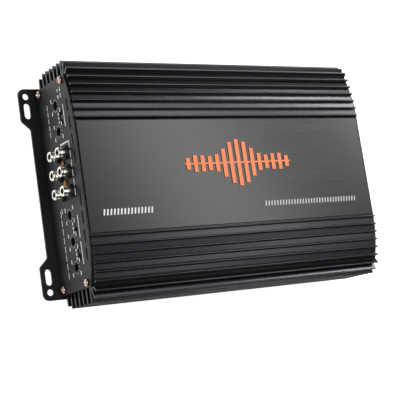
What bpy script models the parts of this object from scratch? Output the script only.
"""Four-channel car amplifier: extruded heatsink on an eared base plate, end panels and what is inside.

The base plate's underside is at z = 0. +X runs along the heatsink from the input end to the output
end, +Y across it and +Z out of the finned top. All lengths are in metres.
"""
import math

import bmesh
import bpy
from mathutils import Matrix, Vector

MM = 0.001
GAP = 0.3 * MM                      # between pieces that touch on the real object

# Driving sizes of the casing
HEATSINK_LENGTH = 270.4 * MM
SIDE_FACE = 80.4 * MM               # from the middle to a side wall's outer face, between its fins
ROOF_Z = 60.4 * MM                  # groove floors next to the nameplate

# Heatsink extrusion
CROWN = 4.1                         # fall of the roof per squared metre beyond the crown's start
ROOF_THICKNESS = 2.8 * MM
SIDE_WALL = 3.5 * MM
FOOT_WALL = 7.3 * MM                # the wall's thick foot, which takes screws
FOOT_TOP = 11.0 * MM
FIN_FOOT = 2.2 * MM
FIN_TIP = 1.5 * MM
FIN_ROUNDING = 0.5 * MM
TOP_FIN_COUNT = 6
TOP_FIN_PITCH = 6.53 * MM
TOP_FIN_HEIGHT = 3.2 * MM
TOP_FIN_START = SIDE_FACE - 3.15 * MM - (TOP_FIN_COUNT - 1) * TOP_FIN_PITCH
CROWN_START = TOP_FIN_START + 0.4 * MM
SIDE_FIN_COUNT = 7
SIDE_FIN_TOP_Z = ROOF_Z - 12.4 * MM
LOWEST_FIN_Z = 8.1 * MM
SIDE_FIN_PITCH = (SIDE_FIN_TOP_Z - LOWEST_FIN_Z) / (SIDE_FIN_COUNT - 1)
SIDE_FIN_REACH = 11.8 * MM
LOWEST_FIN_REACH = 9.4 * MM
CORNER_FINS = (                     # offsets of foot and tip from (SIDE_FACE, SIDE_FIN_TOP_Z)
    ((0.5 * MM, 6.0 * MM), (4.0 * MM, 9.4 * MM)),
    ((1.2 * MM, 2.6 * MM), (9.0 * MM, 5.2 * MM)),
)

# Bay for the nameplate, the nameplate and its emblem
SEAT_DEPTH = 1.2 * MM
SEAT_Z = ROOF_Z - SEAT_DEPTH
SEAT_HALF_WIDTH = TOP_FIN_START - FIN_FOOT / 2
CEILING_Z = SEAT_Z - 2.6 * MM
NAMEPLATE_SIDE_SPARE = 1.1 * MM
NAMEPLATE_END_SPARE = 0.4 * MM
NAMEPLATE_THICKNESS = 1.3 * MM
EMBLEM_THICKNESS = 0.3 * MM
EMBLEM_CENTRE = (4.5 * MM, 6.5 * MM)
EMBLEM_BAR_COUNT = 15
EMBLEM_BAR_PITCH = 6.8 * MM
EMBLEM_BAR_WIDTH = 3.6 * MM
EMBLEM_TALLEST = 38.0 * MM
EMBLEM_SHORTEST = 6.0 * MM
EMBLEM_LINE_WIDTH = 1.2 * MM

# Screws
SCREW_RADIUS = 1.25 * MM
SCREW_HOLE = SCREW_RADIUS + GAP
SCREW_SIDES = 8
PAN_HEAD_RADIUS = 3.0 * MM
PAN_HEAD_HEIGHT = 2.1 * MM
SMALL_HEAD_RADIUS = 2.6 * MM
SMALL_HEAD_HEIGHT = 1.8 * MM
HEAD_SIDES = 12
PANEL_SCREW_LENGTH = 12.0 * MM
SOCKET_SCREW_LENGTH = 8.0 * MM
FLAT_HEAD_RADIUS = 2.6 * MM
FLAT_HEAD_HEIGHT = 1.2 * MM
FLAT_SCREW_LENGTH = 8.0 * MM
HOLE_DEPTH_SPARE = 1.0 * MM

# Base plate, whose ears stand out past the heatsink's ends
BASE_THICKNESS = 1.6 * MM
EAR_END = HEATSINK_LENGTH / 2 + 16.3 * MM
BASE_END = HEATSINK_LENGTH / 2 + 9.1 * MM
EAR_HALF_WIDTH = SIDE_FACE + 3.1 * MM
EAR_INNER = EAR_HALF_WIDTH - 26.0 * MM
EAR_ROOT = EAR_HALF_WIDTH - 32.9 * MM
EAR_CORNER = 5.0 * MM
EAR_BLEND = 2.5 * MM
EAR_HOLE_X = EAR_END - 6.2 * MM
EAR_HOLE_Y = EAR_HALF_WIDTH - 6.3 * MM
EAR_HOLE_RADIUS = 2.6 * MM
EAR_HOLE_SIDES = 16
EAR_SLOT_Y = EAR_HOLE_Y - 11.6 * MM
EAR_SLOT_LENGTH = 12.8 * MM
ARC_STEPS = 4
BASE_SCREW_X = HEATSINK_LENGTH / 2 - 45.2 * MM

# End panels
PANEL_THICKNESS = 1.2 * MM
PANEL_HALF_WIDTH = SIDE_FACE + 0.2 * MM
PANEL_TOP_Z = ROOF_Z - 0.2 * MM
PANEL_CROWN = 5.6
PANEL_CROWN_POINTS = 4
PANEL_SCREW_Y = SIDE_FACE - 3.7 * MM
PANEL_SCREW_HEIGHTS = (8.3 * MM, SIDE_FIN_TOP_Z + 0.2 * MM)
PANEL_SCREW_HOLE = 1.7 * MM
VENT_LENGTH = 9.8 * MM
VENT_WIDTH = 1.9 * MM
VENT_PITCH = 13.56 * MM
VENT_FIRST = 15.7 * MM
VENT_Z = CEILING_Z - 1.1 * MM
VENT_CROWN = 0.62
VENTS_PER_SIDE = 4

# Places that follow from the casing
HEATSINK_END = HEATSINK_LENGTH / 2
PANEL_INNER = HEATSINK_END + GAP
PANEL_OUTER = PANEL_INNER + PANEL_THICKNESS
BODY_BOTTOM_Z = BASE_THICKNESS + GAP
WALL_INNER = SIDE_FACE - SIDE_WALL
FOOT_INNER = SIDE_FACE - FOOT_WALL
NAMEPLATE_TOP_Z = SEAT_Z + GAP + NAMEPLATE_THICKNESS

# Main board, the posts that carry it and the upright boards behind the input panel
BOARD_THICKNESS = 1.6 * MM
BOARD_BOTTOM_Z = 15.0 * MM
BOARD_TOP_Z = BOARD_BOTTOM_Z + BOARD_THICKNESS
ON_BOARD_Z = BOARD_TOP_Z + GAP
BOARD_END = PANEL_INNER - 0.8 * MM
BOARD_HALF_WIDTH = WALL_INNER - 1.1 * MM
POST_X = HEATSINK_END - 37.2 * MM
POST_Y = WALL_INNER - 26.9 * MM
POST_RADIUS = 3.2 * MM
POST_SIDES = 6
CONTROL_BOARD_X = -(PANEL_INNER - 13.5 * MM)    # the face that carries the pots and switches
CONTROL_BOARD_TOP_Z = SIDE_FIN_TOP_Z - 2.4 * MM

# Rotary controls
POT_PLACES = (60.8 * MM, 40.6 * MM, -24.0 * MM, -43.8 * MM, -63.5 * MM)
POT_Z = BOARD_TOP_Z + 17.2 * MM
POT_SHAFT_RADIUS = 2.8 * MM
POT_OPENING = POT_SHAFT_RADIUS + 0.45 * MM
POT_RECESS = 2.0 * MM               # from the panel's inner face to the end of the shaft
POT_SHAFT_LENGTH = 7.5 * MM
POT_BORE_DEPTH = 3.6 * MM
POT_HOUSING = (6.7 * MM, 9.6 * MM, 8.4 * MM)
POT_SLOT_WIDTH = 1.2 * MM
POT_SLOT_DEPTH = 1.0 * MM
POT_SIDES = 16
UPPER_BOARD_SPAN = (POT_PLACES[1] - 6.2 * MM, FOOT_INNER - GAP)
LOWER_BOARD_SPAN = (-(FOOT_INNER - GAP), POT_PLACES[2] + 6.4 * MM)

# Slide switches
SWITCH_PLACES = (50.0 * MM, -34.5 * MM, -54.2 * MM)
SWITCH_TRAVEL = 4.0 * MM
SWITCH_KNOB_OFFSETS = (0.0, SWITCH_TRAVEL / 2, SWITCH_TRAVEL / 2)
SWITCH_Z = BOARD_TOP_Z + 25.1 * MM
SWITCH_KNOB = (4.0 * MM, 2.6 * MM)
SWITCH_OPENING = (SWITCH_KNOB[0] + SWITCH_TRAVEL + 3.4 * MM, SWITCH_KNOB[1] + 1.8 * MM)
SWITCH_SLIDER = (1.6 * MM, 6.0 * MM, 4.0 * MM)
SWITCH_HOUSING = (5.5 * MM, SWITCH_SLIDER[1] + SWITCH_TRAVEL + 3.0 * MM, SWITCH_SLIDER[2] + 2.8 * MM)
SWITCH_LIP = 1.2 * MM
SWITCH_KNOB_END = -(PANEL_OUTER - 0.5 * MM)

# Openings for the two indicator lights
LIGHT_PLACES = (71.0 * MM, 66.2 * MM)
LIGHT_Z = BOARD_TOP_Z + 23.8 * MM
LIGHT_OPENING = 1.8 * MM

# Input sockets
SOCKET_COLUMNS = (22.5 * MM, 7.8 * MM, -6.9 * MM)
SOCKET_ROWS = (BOARD_TOP_Z + 11.4 * MM, BOARD_TOP_Z + 25.7 * MM)
SOCKET_REACH = 8.0 * MM             # shell's mouth ahead of the panel's outer face
SOCKET_SHELL_RADIUS = 4.2 * MM
SOCKET_SHELL_BORE = 3.0 * MM
SOCKET_CORE_RADIUS = SOCKET_SHELL_BORE - GAP
SOCKET_CORE_INSET = 1.0 * MM
SOCKET_PIN_HOLE = 1.65 * MM
SOCKET_PIN_DEPTH = 8.0 * MM
SOCKET_COLLAR_RADIUS = SOCKET_SHELL_RADIUS + GAP + 0.7 * MM
SOCKET_COLLAR_REACH = 2.6 * MM
SOCKET_BORE_DEPTH = 11.8 * MM
SOCKET_BLOCK_DEPTH = 22.0 * MM
SOCKET_BLOCK_MARGIN = 7.3 * MM
SOCKET_SIDES = 16

# Power supply parts
TOROID_CENTRE = (-58.0 * MM, 0.0)
TOROID_CORE = (13.0 * MM, 23.0 * MM)
TOROID_CORE_HEIGHT = 18.0 * MM
TOROID_WINDING = 3.0 * MM
TOROID_WINDING_START = math.radians(15.0)
TOROID_WINDING_SWEEP = math.radians(330.0)
TOROID_SIDES = 16
TOROID_WINDING_STEPS = 22
CAPACITOR_PLACES = ((0.0, -22.0 * MM), (0.0, 22.0 * MM))
CAPACITOR_RADIUS = 12.5 * MM
CAPACITOR_HEADROOM = 4.7 * MM
CAPACITOR_HEIGHT = CEILING_Z - CAPACITOR_HEADROOM - ON_BOARD_Z
CAPACITOR_RIM = 1.0 * MM
CAPACITOR_SIDES = 20

# Power transistors and their clamps
TRANSISTOR_PLACES = (-60.0 * MM, -20.0 * MM, 20.0 * MM, 60.0 * MM)
TRANSISTOR_BODY = (15.6 * MM, 5.0 * MM, 20.0 * MM)
TRANSISTOR_BOTTOM_Z = SIDE_FIN_TOP_Z - 27.0 * MM
LEAD_PITCH = 5.4 * MM
LEAD_WIDTH = 1.2 * MM
LEAD_THICKNESS = 0.6 * MM
PAD_THICKNESS = 0.5 * MM
CLAMP_THICKNESS = 3.0 * MM
CLAMP_HEIGHT = 10.0 * MM
CLAMP_SCREW_PLACES = (-40.0 * MM, 0.0, 40.0 * MM)
CLAMP_HALF_LENGTH = 72.0 * MM
CLAMP_PLACE = 0.6                   # the bar's middle, as a share of a transistor's height
CLAMP_SCREW_LENGTH = 11.0 * MM
CLAMP_HOLE_FLOOR = 1.0 * MM
CLAMP_BITE = 0.2 * MM               # how far the bar's soft face sinks into the transistors

# Terminal blocks
TERMINAL_FRONT = PANEL_OUTER + 10.8 * MM
TERMINAL_BACK = TERMINAL_FRONT - 31.5 * MM
POWER_PITCH = 13.0 * MM
POWER_POLES = tuple(-60.0 * MM + pole * POWER_PITCH for pole in range(3))
POWER_MARGIN = 8.0 * MM
POWER_HEIGHT = 20.0 * MM
POWER_ENTRY = 8.4 * MM
POWER_SCREW_RADIUS = 2.5 * MM
SPEAKER_PITCH = 8.0 * MM
SPEAKER_POLES = tuple(9.0 * MM + pole * SPEAKER_PITCH for pole in range(8))
SPEAKER_MARGIN = 5.0 * MM
SPEAKER_HEIGHT = 15.0 * MM
SPEAKER_ENTRY = 5.6 * MM
SPEAKER_SCREW_RADIUS = 1.7 * MM
ENTRY_FLOOR = 2.6 * MM
ENTRY_DEPTH = 16.0 * MM
CLAMP_SCREW_FROM_FRONT = 6.5 * MM
TERMINAL_SCREW_INSET = 0.5 * MM
TERMINAL_SCREW_SIDES = 12
TERMINAL_RECESS = 1.5 * MM

# Fuses and their holder
FUSE_PLACES = (-16.5 * MM, -6.5 * MM)
FUSE_HOLDER_MARGIN = 4.5 * MM
FUSE_HOLDER_DEPTH = 18.0 * MM
FUSE_HOLDER_HEIGHT = 24.0 * MM
FUSE_BODY = (10.0 * MM, 5.2 * MM, 19.0 * MM)
FUSE_BLADE = (8.0 * MM, 0.8 * MM, 5.0 * MM)
FUSE_BLADE_SPREAD = 6.8 * MM
FUSE_GRIP_LENGTH = 4.0 * MM
FUSE_WAIST = 1.0 * MM


def clear_scene():
    for old in list(bpy.data.objects):
        bpy.data.objects.remove(old, do_unlink=True)


def finish(name, red, green, blue, roughness, metallic=0.0):
    """A material named for the finish, with its colour in linear light."""
    material = bpy.data.materials.new(name)
    material.use_nodes = True
    shader = material.node_tree.nodes["Principled BSDF"]
    shader.inputs["Base Color"].default_value = (red, green, blue, 1.0)
    shader.inputs["Roughness"].default_value = roughness
    shader.inputs["Metallic"].default_value = metallic
    material.diffuse_color = (red, green, blue, 1.0)
    return material


def add_object(name, mesh_builder, material, smooth=False):
    """Turn a finished bmesh into a named object, with its faces pointing outwards."""
    bmesh.ops.recalc_face_normals(mesh_builder, faces=mesh_builder.faces)
    mesh = bpy.data.meshes.new(name)
    mesh_builder.to_mesh(mesh)
    mesh_builder.free()
    if smooth:
        mesh.shade_smooth()
        mesh.set_sharp_from_angle(angle=math.radians(35.0))
    thing = bpy.data.objects.new(name, mesh)
    thing.data.materials.append(material)
    bpy.context.collection.objects.link(thing)
    return thing


def combine(target, tool_mesh, operation):
    """Cut a tool's shape out of an object, or join it on, with a live Boolean."""
    tool = add_object(f"{target.name}_tool_{len(target.modifiers)}", tool_mesh, target.data.materials[0])
    tool.hide_render = True
    tool.display_type = "WIRE"
    boolean = target.modifiers.new(operation.title(), "BOOLEAN")
    boolean.operation = operation
    boolean.solver = "EXACT"
    boolean.object = tool


def placed(axis, along, first, second):
    """A point from its place along an axis and its two places across it, in X, Y, Z order."""
    if axis == "X":
        return Vector((along, first, second))
    if axis == "Y":
        return Vector((first, along, second))
    return Vector((first, second, along))


def add_prism(builder, outline, axis, start, end):
    """Extrude a flat outline along an axis."""
    corners = [builder.verts.new(placed(axis, start, point[0], point[1])) for point in outline]
    face = builder.faces.new(corners)
    swept = bmesh.ops.extrude_face_region(builder, geom=[face])
    moved = [item for item in swept["geom"] if isinstance(item, bmesh.types.BMVert)]
    bmesh.ops.translate(builder, vec=placed(axis, end - start, 0.0, 0.0), verts=moved)
    return builder


def add_box(builder, low, high):
    size = Vector(high) - Vector(low)
    middle = (Vector(high) + Vector(low)) / 2
    matrix = Matrix.Translation(middle) @ Matrix.Diagonal((*size, 1.0))
    bmesh.ops.create_cube(builder, size=1.0, matrix=matrix)
    return builder


def ring_of_points(centre, radius, sides):
    """A regular outline with a flat side facing each axis, so that nested outlines keep their gap."""
    points = []
    for side in range(sides):
        angle = 2 * math.pi * (side + 0.5) / sides
        points.append((centre[0] + radius * math.cos(angle), centre[1] + radius * math.sin(angle)))
    return points


def add_rod(builder, axis, centre, radius, start, end, sides):
    return add_prism(builder, ring_of_points(centre, radius, sides), axis, start, end)


def add_turned(builder, profile, axis, origin, sides, direction=1.0):
    """Turn a closed (radius, distance) profile about an axis that starts at origin."""
    turned = bmesh.new()
    corners = [turned.verts.new((radius, 0.0, distance)) for radius, distance in profile]
    edges = [turned.edges.new((corners[at - 1], corners[at])) for at in range(1, len(corners))]
    if profile[0][0] > 0.0:
        edges.append(turned.edges.new((corners[-1], corners[0])))
    bmesh.ops.spin(turned, geom=corners + edges, cent=(0, 0, 0), axis=(0, 0, 1), dvec=(0, 0, 0),
                   angle=2 * math.pi, steps=sides, use_merge=True, use_duplicate=False)
    bmesh.ops.remove_doubles(turned, verts=turned.verts, dist=0.00001)
    turned.transform(Matrix.Rotation(math.pi / sides, 4, "Z"))
    facing = placed(axis, direction, 0.0, 0.0).to_track_quat("Z", "Y").to_matrix().to_4x4()
    turned.transform(Matrix.Translation(origin) @ facing)
    shape = bpy.data.meshes.new("turned")
    turned.to_mesh(shape)
    turned.free()
    builder.from_mesh(shape)
    bpy.data.meshes.remove(shape)
    return builder


def rounded_outline(corners, steps=ARC_STEPS):
    """Outline points of (x, y, radius) corners, each rounded by its own arc."""
    points = []
    for index, (x, y, radius) in enumerate(corners):
        here = Vector((x, y))
        before = (Vector(corners[index - 1][:2]) - here).normalized()
        after = (Vector(corners[(index + 1) % len(corners)][:2]) - here).normalized()
        half = before.angle(after) / 2
        centre = here + (before + after).normalized() * radius / math.sin(half)
        first = here + before * radius / math.tan(half) - centre
        last = here + after * radius / math.tan(half) - centre
        sweep = math.atan2(first.x * last.y - first.y * last.x, first.dot(last))
        for step in range(steps + 1):
            turn = Matrix.Rotation(sweep * step / steps, 2)
            points.append(centre + turn @ first)
    return points


def slot_outline(centre, length, width, along_first=False, steps=ARC_STEPS):
    """A round-ended slot; it is long in its second coordinate unless along_first is set."""
    points = []
    reach = (length - width) / 2
    for end, start_angle in ((1.0, 0.0), (-1.0, math.pi)):
        for step in range(steps + 1):
            angle = start_angle + math.pi * step / steps
            across = width / 2 * math.cos(angle)
            along = end * reach + width / 2 * math.sin(angle)
            offset = (along, -across) if along_first else (across, along)
            points.append((centre[0] + offset[0], centre[1] + offset[1]))
    return points


def screw_profile(head_radius, head_height, length):
    """Half section of a pan head screw, from the top of its head to its end."""
    return (
        (0.0, -head_height), (head_radius * 0.7, -head_height), (head_radius, -head_height * 0.6),
        (head_radius, 0.0), (SCREW_RADIUS, 0.0), (SCREW_RADIUS, length), (0.0, length),
    )


def add_screw(builder, axis, origin, direction, head_radius, head_height, length):
    profile = screw_profile(head_radius, head_height, length)
    return add_turned(builder, profile, axis, origin, HEAD_SIDES, direction)


# ---------------------------------------------------------------- casing

def groove_floor(y):
    """Height of the floor between the top fins: level by the nameplate, falling towards the sides."""
    beyond = max(0.0, abs(y) - CROWN_START)
    return ROOF_Z - CROWN * beyond ** 2


def fin_points(foot, tip):
    """Section of one fin, from the side that is met first when going round from the middle."""
    foot, tip = Vector(foot), Vector(tip)
    along = (tip - foot).normalized()
    across = Vector((along.y, -along.x))
    shoulder = tip - along * FIN_ROUNDING
    land = across * (FIN_TIP / 2 - FIN_ROUNDING)
    side = across * FIN_TIP / 2
    root = across * FIN_FOOT / 2
    return [foot - root, shoulder - side, tip - land, tip + land, shoulder + side, foot + root]


def heatsink_half():
    """Outline of one half of the extrusion, from the nameplate's bay round to the ceiling."""
    points = [Vector((SEAT_HALF_WIDTH, SEAT_Z))]
    for index in range(TOP_FIN_COUNT):
        y = TOP_FIN_START + index * TOP_FIN_PITCH
        floor = groove_floor(y)
        points += fin_points((y, floor), (y, floor + TOP_FIN_HEIGHT))
    for foot, tip in CORNER_FINS:
        corner = Vector((SIDE_FACE, SIDE_FIN_TOP_Z))
        points += fin_points(corner + Vector(foot), corner + Vector(tip))
    for index in range(SIDE_FIN_COUNT):
        z = SIDE_FIN_TOP_Z - index * SIDE_FIN_PITCH
        reach = LOWEST_FIN_REACH if index == SIDE_FIN_COUNT - 1 else SIDE_FIN_REACH
        points += fin_points((SIDE_FACE, z), (SIDE_FACE + reach, z))
    screw_z = PANEL_SCREW_HEIGHTS[1]
    points += [
        Vector((SIDE_FACE, BODY_BOTTOM_Z)),
        Vector((FOOT_INNER, BODY_BOTTOM_Z)),
        Vector((FOOT_INNER, FOOT_TOP)),
        Vector((WALL_INNER, FOOT_TOP + (WALL_INNER - FOOT_INNER) / 2)),
        Vector((WALL_INNER, screw_z - FOOT_WALL + GAP)),
        Vector((FOOT_INNER, screw_z - SIDE_WALL)),
    ]
    for step in range(4):
        y = FOOT_INNER * (1.0 - step / 12)
        points.append(Vector((y, min(CEILING_Z, groove_floor(y) - ROOF_THICKNESS))))
    return points


def make_heatsink(material):
    half = heatsink_half()
    other = [Vector((-point.x, point.y)) for point in reversed(half)]
    body = add_prism(bmesh.new(), half + other, "X", -HEATSINK_END, HEATSINK_END)
    heatsink = add_object("heatsink", body, material)
    holes = bmesh.new()
    for end in (-1.0, 1.0):
        for side in (-1.0, 1.0):
            for z in PANEL_SCREW_HEIGHTS:
                outer = end * (HEATSINK_END + HOLE_DEPTH_SPARE)
                inner = end * (HEATSINK_END - PANEL_SCREW_LENGTH)
                add_rod(holes, "X", (side * PANEL_SCREW_Y, z), SCREW_HOLE, outer, inner, SCREW_SIDES)
    for place in base_screw_places():
        add_rod(holes, "Z", place, SCREW_HOLE, 0.0, FLAT_SCREW_LENGTH + HOLE_DEPTH_SPARE, SCREW_SIDES)
    combine(heatsink, holes, "DIFFERENCE")
    clamp_holes = bmesh.new()
    clamp_z = TRANSISTOR_BOTTOM_Z + TRANSISTOR_BODY[2] * CLAMP_PLACE
    for x in CLAMP_SCREW_PLACES:
        for side in (-1.0, 1.0):
            inner = side * (WALL_INNER - HOLE_DEPTH_SPARE)
            outer = side * (SIDE_FACE - CLAMP_HOLE_FLOOR)
            add_rod(clamp_holes, "Y", (x, clamp_z), SCREW_HOLE, inner, outer, SCREW_SIDES)
    combine(heatsink, clamp_holes, "DIFFERENCE")
    return heatsink


def make_nameplate(material):
    half_length = HEATSINK_END - NAMEPLATE_END_SPARE
    half_width = SEAT_HALF_WIDTH - NAMEPLATE_SIDE_SPARE
    low = (-half_length, -half_width, SEAT_Z + GAP)
    high = (half_length, half_width, NAMEPLATE_TOP_Z)
    return add_object("nameplate", add_box(bmesh.new(), low, high), material)


def emblem_bar_height(index):
    """Heights of a sound-level emblem: two swells that fade towards both ends."""
    place = (index + 0.5) / EMBLEM_BAR_COUNT
    swell = math.sin(math.pi * place) * (0.62 + 0.38 * math.cos(4 * math.pi * place))
    return EMBLEM_SHORTEST + (EMBLEM_TALLEST - EMBLEM_SHORTEST) * abs(swell)


def make_emblem(material):
    bars = bmesh.new()
    bottom = NAMEPLATE_TOP_Z + GAP
    for index in range(EMBLEM_BAR_COUNT):
        x = EMBLEM_CENTRE[0] + (index - (EMBLEM_BAR_COUNT - 1) / 2) * EMBLEM_BAR_PITCH
        reach = emblem_bar_height(index) / 2
        low = (x - EMBLEM_BAR_WIDTH / 2, EMBLEM_CENTRE[1] - reach, bottom)
        high = (x + EMBLEM_BAR_WIDTH / 2, EMBLEM_CENTRE[1] + reach, bottom + EMBLEM_THICKNESS)
        add_box(bars, low, high)
    emblem = add_object("emblem", bars, material)
    reach = EMBLEM_BAR_COUNT * EMBLEM_BAR_PITCH / 2
    low = (EMBLEM_CENTRE[0] - reach, EMBLEM_CENTRE[1] - EMBLEM_LINE_WIDTH / 2, bottom)
    high = (EMBLEM_CENTRE[0] + reach, EMBLEM_CENTRE[1] + EMBLEM_LINE_WIDTH / 2, bottom + EMBLEM_THICKNESS)
    combine(emblem, add_box(bmesh.new(), low, high), "UNION")
    return emblem


def base_outline():
    right = [
        (EAR_END, -EAR_HALF_WIDTH, EAR_CORNER),
        (EAR_END, -EAR_INNER, EAR_BLEND),
        (BASE_END, -EAR_ROOT, EAR_BLEND),
        (BASE_END, EAR_ROOT, EAR_BLEND),
        (EAR_END, EAR_INNER, EAR_BLEND),
        (EAR_END, EAR_HALF_WIDTH, EAR_CORNER),
    ]
    left = [(-x, -y, radius) for x, y, radius in right]
    return rounded_outline(right + left)


def base_screw_places():
    """Where a countersunk screw comes up through the base plate into a side wall's foot."""
    return [(end * BASE_SCREW_X, side * PANEL_SCREW_Y) for end in (-1.0, 1.0) for side in (-1.0, 1.0)]


def post_places():
    return [(end * POST_X, side * POST_Y) for end in (-1.0, 1.0) for side in (-1.0, 1.0)]


def make_base_plate(material):
    body = add_prism(bmesh.new(), base_outline(), "Z", 0.0, BASE_THICKNESS)
    base = add_object("base_plate", body, material)
    holes = bmesh.new()
    below, above = -HOLE_DEPTH_SPARE, BASE_THICKNESS + HOLE_DEPTH_SPARE
    for end in (-1.0, 1.0):
        for side in (-1.0, 1.0):
            centre = (end * EAR_HOLE_X, side * EAR_HOLE_Y)
            add_rod(holes, "Z", centre, EAR_HOLE_RADIUS, below, above, EAR_HOLE_SIDES)
            slot = slot_outline((end * EAR_HOLE_X, side * EAR_SLOT_Y), EAR_SLOT_LENGTH, 2 * EAR_HOLE_RADIUS)
            add_prism(holes, slot, "Z", below, above)
    head = FLAT_HEAD_RADIUS + GAP
    profile = (
        (0.0, below), (head, below), (head, FLAT_HEAD_HEIGHT / 4), (SCREW_HOLE, FLAT_HEAD_HEIGHT),
        (SCREW_HOLE, above), (0.0, above),
    )
    for place in base_screw_places():
        add_turned(holes, profile, "Z", (*place, 0.0), SCREW_SIDES)
    combine(base, holes, "DIFFERENCE")
    posts = bmesh.new()
    bottom, top = BASE_THICKNESS / 2, BOARD_BOTTOM_Z - GAP
    profile = ((SCREW_HOLE, bottom), (POST_RADIUS, bottom), (POST_RADIUS, top), (SCREW_HOLE, top))
    for place in post_places():
        add_turned(posts, profile, "Z", (*place, 0.0), POST_SIDES)
    combine(base, posts, "UNION")
    return base


def make_base_screw(index, place, material):
    bottom = GAP / 2
    profile = (
        (0.0, bottom), (FLAT_HEAD_RADIUS, bottom), (SCREW_RADIUS, FLAT_HEAD_HEIGHT + bottom),
        (SCREW_RADIUS, FLAT_SCREW_LENGTH), (0.0, FLAT_SCREW_LENGTH),
    )
    screw = add_turned(bmesh.new(), profile, "Z", (*place, 0.0), SCREW_SIDES)
    return add_object(f"base_screw_{index}", screw, material, smooth=True)


def panel_outline():
    """An end panel's outline: square below, crowned along the top."""
    half = [Vector((PANEL_HALF_WIDTH, BODY_BOTTOM_Z))]
    for step in range(PANEL_CROWN_POINTS + 1):
        y = PANEL_HALF_WIDTH - (PANEL_HALF_WIDTH - CROWN_START) * step / PANEL_CROWN_POINTS
        half.append(Vector((y, PANEL_TOP_Z - PANEL_CROWN * (y - CROWN_START) ** 2)))
    return half + [Vector((-point.x, point.y)) for point in reversed(half)]


def add_vents(holes, start, end):
    for side in (-1.0, 1.0):
        for index in range(VENTS_PER_SIDE):
            y = VENT_FIRST + index * VENT_PITCH
            z = VENT_Z - VENT_CROWN * y ** 2
            vent = slot_outline((side * y, z), VENT_LENGTH, VENT_WIDTH, along_first=True, steps=3)
            add_prism(holes, vent, "X", start, end)


def start_panel(name, end, material):
    """A panel with its screw holes and vents; the rest of its openings are cut later."""
    inner, outer = end * PANEL_INNER, end * PANEL_OUTER
    panel = add_object(name, add_prism(bmesh.new(), panel_outline(), "X", inner, outer), material)
    holes = bmesh.new()
    start, stop = inner - end * HOLE_DEPTH_SPARE, outer + end * HOLE_DEPTH_SPARE
    for side in (-1.0, 1.0):
        for z in PANEL_SCREW_HEIGHTS:
            add_rod(holes, "X", (side * PANEL_SCREW_Y, z), PANEL_SCREW_HOLE, start, stop, SCREW_SIDES)
    add_vents(holes, start, stop)
    return panel, holes, start, stop


def make_input_panel(material):
    panel, holes, start, stop = start_panel("input_panel", -1.0, material)
    for y in POT_PLACES:
        add_rod(holes, "X", (y, POT_Z), POT_OPENING, start, stop, POT_SIDES)
    for y in SWITCH_PLACES:
        reach = (SWITCH_OPENING[0] / 2, SWITCH_OPENING[1] / 2)
        add_box(holes, (stop, y - reach[0], SWITCH_Z - reach[1]), (start, y + reach[0], SWITCH_Z + reach[1]))
    for y in SOCKET_COLUMNS:
        for z in SOCKET_ROWS:
            add_rod(holes, "X", (y, z), SOCKET_COLLAR_RADIUS + GAP, start, stop, SOCKET_SIDES)
    for y, z in socket_screw_places():
        add_rod(holes, "X", (y, z), SCREW_HOLE, start, stop, SCREW_SIDES)
    for y in LIGHT_PLACES:
        add_rod(holes, "X", (y, LIGHT_Z), LIGHT_OPENING, start, stop, SCREW_SIDES)
    combine(panel, holes, "DIFFERENCE")
    return panel


def make_output_panel(material):
    panel, holes, start, stop = start_panel("output_panel", 1.0, material)
    for low, high in (power_block_box(), speaker_block_box(), fuse_holder_box()):
        add_box(holes, (start, low[1] - GAP, low[2] - GAP), (stop, high[1] + GAP, high[2] + GAP))
    combine(panel, holes, "DIFFERENCE")
    return panel


def panel_screw_places():
    """The end, side and height of each panel screw, four at either end."""
    sides = (1.0, -1.0)
    heights = reversed(PANEL_SCREW_HEIGHTS)
    return [(end, side * PANEL_SCREW_Y, z) for z in heights for end in (-1.0, 1.0) for side in sides]


def make_panel_screw(index, place, material):
    end, y, z = place
    origin = (end * (PANEL_OUTER + GAP), y, z)
    size = (PAN_HEAD_RADIUS, PAN_HEAD_HEIGHT, PANEL_SCREW_LENGTH)
    screw = add_screw(bmesh.new(), "X", origin, -end, *size)
    return add_object(f"panel_screw_{index}", screw, material, smooth=True)


# ---------------------------------------------------------------- boards

def make_main_board(material):
    low = (-BOARD_END, -BOARD_HALF_WIDTH, BOARD_BOTTOM_Z)
    high = (BOARD_END, BOARD_HALF_WIDTH, BOARD_TOP_Z)
    board = add_object("main_board", add_box(bmesh.new(), low, high), material)
    holes = bmesh.new()
    start, stop = BOARD_BOTTOM_Z - HOLE_DEPTH_SPARE, BOARD_TOP_Z + HOLE_DEPTH_SPARE
    for place in post_places():
        add_rod(holes, "Z", place, SCREW_HOLE, start, stop, SCREW_SIDES)
    combine(board, holes, "DIFFERENCE")
    return board


def make_control_board(name, span, material):
    low = (CONTROL_BOARD_X, span[0], ON_BOARD_Z)
    high = (CONTROL_BOARD_X + BOARD_THICKNESS, span[1], CONTROL_BOARD_TOP_Z)
    return add_object(name, add_box(bmesh.new(), low, high), material)


# ---------------------------------------------------------------- controls

def make_pot_housing(index, y, material):
    depth, width, height = POT_HOUSING
    back = CONTROL_BOARD_X - GAP
    low = (back - depth, y - width / 2, POT_Z - height / 2)
    high = (back, y + width / 2, POT_Z + height / 2)
    housing = add_object(f"pot_housing_{index}", add_box(bmesh.new(), low, high), material)
    start, stop = back - depth - HOLE_DEPTH_SPARE, back - depth + POT_BORE_DEPTH
    bore = add_rod(bmesh.new(), "X", (y, POT_Z), POT_SHAFT_RADIUS + GAP, start, stop, POT_SIDES)
    combine(housing, bore, "DIFFERENCE")
    return housing


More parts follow.
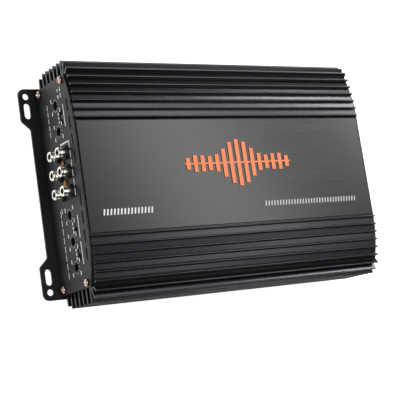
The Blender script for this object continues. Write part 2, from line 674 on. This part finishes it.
def make_pot_shaft(index, y, material):
    """A shaft with a screwdriver slot; its origin is on its axis."""
    front = -PANEL_INNER + POT_RECESS
    shaft = add_rod(bmesh.new(), "X", (0.0, 0.0), POT_SHAFT_RADIUS, 0.0, POT_SHAFT_LENGTH, POT_SIDES)
    pot_shaft = add_object(f"pot_shaft_{index}", shaft, material, smooth=True)
    reach = POT_SHAFT_RADIUS + HOLE_DEPTH_SPARE
    low = (-HOLE_DEPTH_SPARE, -reach, -POT_SLOT_WIDTH / 2)
    high = (POT_SLOT_DEPTH, reach, POT_SLOT_WIDTH / 2)
    combine(pot_shaft, add_box(bmesh.new(), low, high), "DIFFERENCE")
    tool = pot_shaft.modifiers[0].object
    tool.parent = pot_shaft
    pot_shaft.location = (front, y, POT_Z)
    return pot_shaft


def make_switch_housing(index, y, material):
    """A housing with a cavity for the slider's foot and a narrower window for the knob."""
    depth, width, height = SWITCH_HOUSING
    back = CONTROL_BOARD_X - GAP
    front = back - depth
    low = (front, y - width / 2, SWITCH_Z - height / 2)
    high = (back, y + width / 2, SWITCH_Z + height / 2)
    housing = add_object(f"switch_housing_{index}", add_box(bmesh.new(), low, high), material)
    slider_depth, slider_width, slider_height = SWITCH_SLIDER
    reach = (slider_width + SWITCH_TRAVEL) / 2 + GAP
    rise = slider_height / 2 + GAP
    cavity_front = front + SWITCH_LIP
    cavity_back = cavity_front + slider_depth + 2 * GAP
    cavity = add_box(bmesh.new(), (cavity_front, y - reach, SWITCH_Z - rise),
                     (cavity_back, y + reach, SWITCH_Z + rise))
    combine(housing, cavity, "DIFFERENCE")
    reach = (SWITCH_KNOB[0] + SWITCH_TRAVEL) / 2 + GAP
    rise = SWITCH_KNOB[1] / 2 + GAP
    window = add_box(bmesh.new(), (front - HOLE_DEPTH_SPARE, y - reach, SWITCH_Z - rise),
                     (cavity_front + slider_depth / 2, y + reach, SWITCH_Z + rise))
    combine(housing, window, "DIFFERENCE")
    return housing


def make_switch_knob(index, y, offset, material):
    """The slider's foot with its knob; the foot is drawn first and the knob pulled out of its face."""
    slider_depth, slider_width, slider_height = SWITCH_SLIDER
    foot_front = CONTROL_BOARD_X - GAP - SWITCH_HOUSING[0] + SWITCH_LIP + GAP
    middle = y + offset
    foot = add_box(bmesh.new(), (foot_front, middle - slider_width / 2, SWITCH_Z - slider_height / 2),
                   (foot_front + slider_depth, middle + slider_width / 2, SWITCH_Z + slider_height / 2))
    knob = add_object(f"switch_knob_{index}", foot, material)
    reach, rise = SWITCH_KNOB[0] / 2, SWITCH_KNOB[1] / 2
    stem = add_box(bmesh.new(), (SWITCH_KNOB_END, middle - reach, SWITCH_Z - rise),
                   (foot_front + slider_depth / 2, middle + reach, SWITCH_Z + rise))
    combine(knob, stem, "UNION")
    return knob


# ---------------------------------------------------------------- input sockets

def socket_screw_places():
    z = sum(SOCKET_ROWS) / 2
    middles = zip(SOCKET_COLUMNS[:-1], SOCKET_COLUMNS[1:])
    return [((first + second) / 2, z) for first, second in middles]


def socket_places():
    return [(y, z) for z in SOCKET_ROWS for y in SOCKET_COLUMNS]


def make_socket_block(material):
    front = -PANEL_INNER + GAP
    back = front + SOCKET_BLOCK_DEPTH
    margin = SOCKET_BLOCK_MARGIN
    low = (front, SOCKET_COLUMNS[-1] - margin, ON_BOARD_Z)
    high = (back, SOCKET_COLUMNS[0] + margin, SOCKET_ROWS[1] + margin)
    block = add_object("rca_block", add_box(bmesh.new(), low, high), material)
    collar_front = -PANEL_OUTER - SOCKET_COLLAR_REACH
    bore_end = collar_front + SOCKET_BORE_DEPTH
    shell_front = -PANEL_OUTER - SOCKET_REACH
    core_front = shell_front + SOCKET_CORE_INSET
    collars, bores, cores, pin_holes = bmesh.new(), bmesh.new(), bmesh.new(), bmesh.new()
    for place in socket_places():
        collar_end = front + 2 * HOLE_DEPTH_SPARE
        add_rod(collars, "X", place, SOCKET_COLLAR_RADIUS, collar_front, collar_end, SOCKET_SIDES)
        bore_front = collar_front - HOLE_DEPTH_SPARE
        add_rod(bores, "X", place, SOCKET_SHELL_RADIUS + GAP, bore_front, bore_end, SOCKET_SIDES)
        core_end = bore_end + 2 * HOLE_DEPTH_SPARE
        add_rod(cores, "X", place, SOCKET_CORE_RADIUS, core_front, core_end, SOCKET_SIDES)
        pin_end = core_front + SOCKET_PIN_DEPTH
        add_rod(pin_holes, "X", place, SOCKET_PIN_HOLE, shell_front, pin_end, SCREW_SIDES)
    combine(block, collars, "UNION")
    combine(block, bores, "DIFFERENCE")
    combine(block, cores, "UNION")
    for place in socket_screw_places():
        end = -PANEL_OUTER + SOCKET_SCREW_LENGTH + HOLE_DEPTH_SPARE
        add_rod(pin_holes, "X", place, SCREW_HOLE, front - HOLE_DEPTH_SPARE, end, SCREW_SIDES)
    combine(block, pin_holes, "DIFFERENCE")
    return block


def make_socket_shell(index, place, material):
    front = -PANEL_OUTER - SOCKET_REACH
    end = -PANEL_OUTER - SOCKET_COLLAR_REACH + SOCKET_BORE_DEPTH - GAP
    chamfer = GAP
    profile = (
        (SOCKET_SHELL_BORE, 0.0), (SOCKET_SHELL_RADIUS - chamfer, 0.0), (SOCKET_SHELL_RADIUS, chamfer),
        (SOCKET_SHELL_RADIUS, end - front), (SOCKET_SHELL_BORE, end - front),
    )
    shell = add_turned(bmesh.new(), profile, "X", (front, *place), SOCKET_SIDES)
    return add_object(f"rca_shell_{index}", shell, material, smooth=True)


def make_socket_screw(index, place, material):
    origin = (-PANEL_OUTER - GAP, *place)
    size = (SMALL_HEAD_RADIUS, SMALL_HEAD_HEIGHT, SOCKET_SCREW_LENGTH)
    screw = add_screw(bmesh.new(), "X", origin, 1.0, *size)
    return add_object(f"rca_screw_{index}", screw, material, smooth=True)


# ---------------------------------------------------------------- power supply

def make_toroid_core(material):
    inner, outer = TOROID_CORE
    bottom = ON_BOARD_Z + TOROID_WINDING + GAP
    profile = ((inner, 0.0), (outer, 0.0), (outer, TOROID_CORE_HEIGHT), (inner, TOROID_CORE_HEIGHT))
    core = add_turned(bmesh.new(), profile, "Z", (*TOROID_CENTRE, bottom), TOROID_SIDES)
    return add_object("toroid_core", core, material)


def make_toroid_winding(material):
    """The wire round the core as an open sleeve: a square loop of section, spun most of a turn."""
    inner, outer = TOROID_CORE
    bottom = ON_BOARD_Z + TOROID_WINDING + GAP
    middle = Vector(((inner + outer) / 2, bottom + TOROID_CORE_HEIGHT / 2))
    reach = Vector(((outer - inner) / 2, TOROID_CORE_HEIGHT / 2))
    sleeve = bmesh.new()
    loops = []
    for offset in (2 * GAP, TOROID_WINDING):
        corners = []
        for right, up in ((-1, -1), (1, -1), (1, 1), (-1, 1)):
            radius = middle.x + right * (reach.x + offset)
            height = middle.y + up * (reach.y + offset)
            corners.append(sleeve.verts.new((radius, 0.0, height)))
        loops.append(corners)
    section = []
    for at in range(4):
        ahead = (at + 1) % 4
        corners = (loops[0][at], loops[0][ahead], loops[1][ahead], loops[1][at])
        section.append(sleeve.faces.new(corners))
    start = Matrix.Rotation(TOROID_WINDING_START, 3, "Z")
    bmesh.ops.rotate(sleeve, cent=(0, 0, 0), matrix=start, verts=sleeve.verts)
    bmesh.ops.spin(sleeve, geom=section, cent=(0, 0, 0), axis=(0, 0, 1), dvec=(0, 0, 0),
                   angle=TOROID_WINDING_SWEEP, steps=TOROID_WINDING_STEPS, use_duplicate=False)
    bmesh.ops.translate(sleeve, vec=(*TOROID_CENTRE, 0.0), verts=sleeve.verts)
    return add_object("toroid_winding", sleeve, material)


def make_capacitor(index, place, material):
    inner = CAPACITOR_RADIUS - CAPACITOR_RIM
    profile = (
        (0.0, 0.0), (inner, 0.0), (CAPACITOR_RADIUS, CAPACITOR_RIM),
        (CAPACITOR_RADIUS, CAPACITOR_HEIGHT - CAPACITOR_RIM), (inner, CAPACITOR_HEIGHT),
        (0.0, CAPACITOR_HEIGHT),
    )
    can = add_turned(bmesh.new(), profile, "Z", (*place, ON_BOARD_Z), CAPACITOR_SIDES)
    return add_object(f"capacitor_{index}", can, material, smooth=True)


# ---------------------------------------------------------------- transistors

def transistor_back():
    return WALL_INNER - GAP - PAD_THICKNESS - GAP


def between(side, near, far, first, second):
    """The corners of a box that lies across one side wall, from its ranges in X and Z."""
    low = (first[0], min(side * near, side * far), second[0])
    high = (first[1], max(side * near, side * far), second[1])
    return low, high


def make_transistor_row(index, side, material):
    """Four power transistors, each with three leads, pressed to the wall by one screwed bar."""
    width, depth, height = TRANSISTOR_BODY
    back = transistor_back()
    front = back - depth
    bar_front = front - CLAMP_THICKNESS
    bar_z = TRANSISTOR_BOTTOM_Z + height * CLAMP_PLACE
    bodies, leads = bmesh.new(), bmesh.new()
    upright = (TRANSISTOR_BOTTOM_Z, TRANSISTOR_BOTTOM_Z + height)
    lead_rise = (ON_BOARD_Z, TRANSISTOR_BOTTOM_Z + LEAD_WIDTH)
    lead_y = (front + back - LEAD_THICKNESS) / 2
    for x in TRANSISTOR_PLACES:
        add_box(bodies, *between(side, front, back, (x - width / 2, x + width / 2), upright))
        for lead in (-1, 0, 1):
            left = x + lead * LEAD_PITCH - LEAD_WIDTH / 2
            span = (left, left + LEAD_WIDTH)
            add_box(leads, *between(side, lead_y, lead_y + LEAD_THICKNESS, span, lead_rise))
    row = add_object(f"transistor_row_{index}", bodies, material)
    combine(row, leads, "UNION")
    span = (-CLAMP_HALF_LENGTH, CLAMP_HALF_LENGTH)
    rise = (bar_z - CLAMP_HEIGHT / 2, bar_z + CLAMP_HEIGHT / 2)
    bar = add_box(bmesh.new(), *between(side, bar_front, front + CLAMP_BITE, span, rise))
    combine(row, bar, "UNION")
    screws = bmesh.new()
    size = (SMALL_HEAD_RADIUS, SMALL_HEAD_HEIGHT, CLAMP_SCREW_LENGTH)
    for x in CLAMP_SCREW_PLACES:
        add_screw(screws, "Y", (x, side * (bar_front + CLAMP_BITE), bar_z), side, *size)
    combine(row, screws, "UNION")
    return row


# ---------------------------------------------------------------- output end

def terminal_box(poles, margin, height):
    low = (TERMINAL_BACK, min(poles) - margin, ON_BOARD_Z)
    return low, (TERMINAL_FRONT, max(poles) + margin, ON_BOARD_Z + height)


def power_block_box():
    return terminal_box(POWER_POLES, POWER_MARGIN, POWER_HEIGHT)


def speaker_block_box():
    return terminal_box(SPEAKER_POLES, SPEAKER_MARGIN, SPEAKER_HEIGHT)


def fuse_holder_box():
    front = PANEL_OUTER + GAP
    low = (front - FUSE_HOLDER_DEPTH, min(FUSE_PLACES) - FUSE_HOLDER_MARGIN, ON_BOARD_Z)
    return low, (front, max(FUSE_PLACES) + FUSE_HOLDER_MARGIN, ON_BOARD_Z + FUSE_HOLDER_HEIGHT)


def make_terminal_block(name, box, poles, entry, screw_radius, material):
    """A block with a wire entry in its front for each pole and a screw hole down into the entry."""
    low, high = box
    block = add_object(name, add_box(bmesh.new(), low, high), material)
    entries, screw_holes = bmesh.new(), bmesh.new()
    floor = low[2] + ENTRY_FLOOR
    for y in poles:
        add_box(entries, (high[0] - ENTRY_DEPTH, y - entry / 2, floor),
                (high[0] + HOLE_DEPTH_SPARE, y + entry / 2, floor + entry))
        centre = (high[0] - CLAMP_SCREW_FROM_FRONT, y)
        start, stop = floor + entry / 2, high[2] + HOLE_DEPTH_SPARE
        add_rod(screw_holes, "Z", centre, screw_radius + GAP, start, stop, TERMINAL_SCREW_SIDES)
    combine(block, entries, "DIFFERENCE")
    combine(block, screw_holes, "DIFFERENCE")
    return block


def terminal_screw_profile(box, entry, radius):
    """Half section of a clamp screw with a round driver recess, from its end up to its rim."""
    low, high = box
    bottom = low[2] + ENTRY_FLOOR + entry + GAP
    top = high[2] - TERMINAL_SCREW_INSET
    recess = radius * 0.55
    return (
        (0.0, bottom), (radius * 0.8, bottom), (radius, bottom + GAP), (radius, top), (recess, top),
        (recess, top - TERMINAL_RECESS), (0.0, top - TERMINAL_RECESS),
    )


def make_power_screw(index, y, material):
    box = power_block_box()
    x = box[1][0] - CLAMP_SCREW_FROM_FRONT
    profile = terminal_screw_profile(box, POWER_ENTRY, POWER_SCREW_RADIUS)
    screw = add_turned(bmesh.new(), profile, "Z", (0.0, 0.0, 0.0), TERMINAL_SCREW_SIDES)
    power_screw = add_object(f"power_terminal_screw_{index}", screw, material, smooth=True)
    power_screw.location = (x, y, 0.0)
    return power_screw


def fuse_middle_z():
    low, high = fuse_holder_box()
    return (low[2] + high[2]) / 2


def make_fuse_holder(material):
    low, high = fuse_holder_box()
    holder = add_object("fuse_holder", add_box(bmesh.new(), low, high), material)
    length, thickness, width = FUSE_BLADE
    slots = bmesh.new()
    for y in FUSE_PLACES:
        for sign in (-1.0, 1.0):
            z = fuse_middle_z() + sign * FUSE_BLADE_SPREAD
            reach, rise = thickness / 2 + GAP, width / 2 + GAP
            add_box(slots, (high[0] - length - HOLE_DEPTH_SPARE, y - reach, z - rise),
                    (high[0] + HOLE_DEPTH_SPARE, y + reach, z + rise))
    combine(holder, slots, "DIFFERENCE")
    return holder


def make_fuse(index, y, material):
    """A blade fuse: a plastic body with a wider grip and two metal blades."""
    length, width, height = FUSE_BODY
    seat = fuse_holder_box()[1][0]
    front = seat + GAP
    z = fuse_middle_z()
    grip = front + length - FUSE_GRIP_LENGTH
    waist = height / 2 - FUSE_WAIST
    half = ((front, waist), (grip, waist), (grip, height / 2), (front + length, height / 2))
    outline = [(x, z + rise) for x, rise in half] + [(x, z - rise) for x, rise in reversed(half)]
    body = add_prism(bmesh.new(), outline, "Y", y - width / 2, y + width / 2)
    fuse = add_object(f"fuse_{index}", body, material)
    blade_length, thickness, blade_width = FUSE_BLADE
    blades = bmesh.new()
    for sign in (-1.0, 1.0):
        blade_z = z + sign * FUSE_BLADE_SPREAD
        add_box(blades, (seat - blade_length, y - thickness / 2, blade_z - blade_width / 2),
                (front + HOLE_DEPTH_SPARE, y + thickness / 2, blade_z + blade_width / 2))
    combine(fuse, blades, "UNION")
    return fuse


def make_casing(steel, grey_steel, nickel, zinc):
    make_heatsink(finish("black_anodised_aluminium", 0.03, 0.03, 0.033, 0.38, 0.85))
    make_nameplate(finish("brushed_dark_plate", 0.065, 0.065, 0.067, 0.42, 0.8))
    make_emblem(finish("orange_print", 0.95, 0.28, 0.12, 0.5))
    make_base_plate(steel)
    make_input_panel(grey_steel)
    make_output_panel(grey_steel)
    for index, place in enumerate(base_screw_places(), start=1):
        make_base_screw(index, place, zinc)
    for index, place in enumerate(panel_screw_places(), start=1):
        make_panel_screw(index, place, nickel)


def make_input_end(plastic, grey_plastic, board, nickel, zinc):
    make_control_board("upper_control_board", UPPER_BOARD_SPAN, board)
    make_control_board("lower_control_board", LOWER_BOARD_SPAN, board)
    for index, y in enumerate(POT_PLACES, start=1):
        make_pot_housing(index, y, plastic)
        make_pot_shaft(index, y, grey_plastic)
    for index, (y, offset) in enumerate(zip(SWITCH_PLACES, SWITCH_KNOB_OFFSETS), start=1):
        make_switch_housing(index, y, zinc)
        make_switch_knob(index, y, offset, plastic)
    make_socket_block(plastic)
    for index, place in enumerate(socket_places(), start=1):
        make_socket_shell(index, place, nickel)
    brown_zinc = finish("brown_tinted_zinc", 0.45, 0.33, 0.22, 0.35, 1.0)
    for index, place in enumerate(socket_screw_places(), start=1):
        make_socket_screw(index, place, brown_zinc)


def make_output_end(plastic, nickel):
    make_terminal_block("power_terminal_block", power_block_box(), POWER_POLES, POWER_ENTRY,
                        POWER_SCREW_RADIUS, plastic)
    make_terminal_block("speaker_terminal_block", speaker_block_box(), SPEAKER_POLES, SPEAKER_ENTRY,
                        SPEAKER_SCREW_RADIUS, plastic)
    for index, y in enumerate(POWER_POLES, start=1):
        make_power_screw(index, y, nickel)
    make_fuse_holder(plastic)
    fuse_colour = finish("fuse_plastic", 0.05, 0.35, 0.08, 0.3)
    for index, y in enumerate(FUSE_PLACES, start=1):
        make_fuse(index, y, fuse_colour)


def make_power_supply():
    make_toroid_core(finish("ferrite", 0.05, 0.05, 0.05, 0.7))
    make_toroid_winding(finish("enamelled_copper", 0.55, 0.17, 0.06, 0.3, 0.9))
    sleeve = finish("capacitor_sleeve", 0.01, 0.015, 0.05, 0.35)
    for index, place in enumerate(CAPACITOR_PLACES, start=1):
        make_capacitor(index, place, sleeve)


def build():
    clear_scene()
    steel = finish("powder_coated_steel", 0.012, 0.012, 0.013, 0.45)
    grey_steel = finish("satin_painted_steel", 0.09, 0.09, 0.095, 0.5, 0.3)
    nickel = finish("nickel_plate", 0.75, 0.73, 0.7, 0.25, 1.0)
    zinc = finish("zinc_plated_steel", 0.6, 0.6, 0.58, 0.35, 1.0)
    board = finish("green_solder_mask", 0.01, 0.09, 0.035, 0.4)
    plastic = finish("black_plastic", 0.012, 0.012, 0.012, 0.5)
    grey_plastic = finish("grey_plastic", 0.12, 0.12, 0.125, 0.5)
    make_casing(steel, grey_steel, nickel, zinc)
    make_main_board(board)
    make_input_end(plastic, grey_plastic, board, nickel, zinc)
    make_output_end(plastic, nickel)
    make_power_supply()
    for index, side in enumerate((1.0, -1.0), start=1):
        make_transistor_row(index, side, plastic)


build()
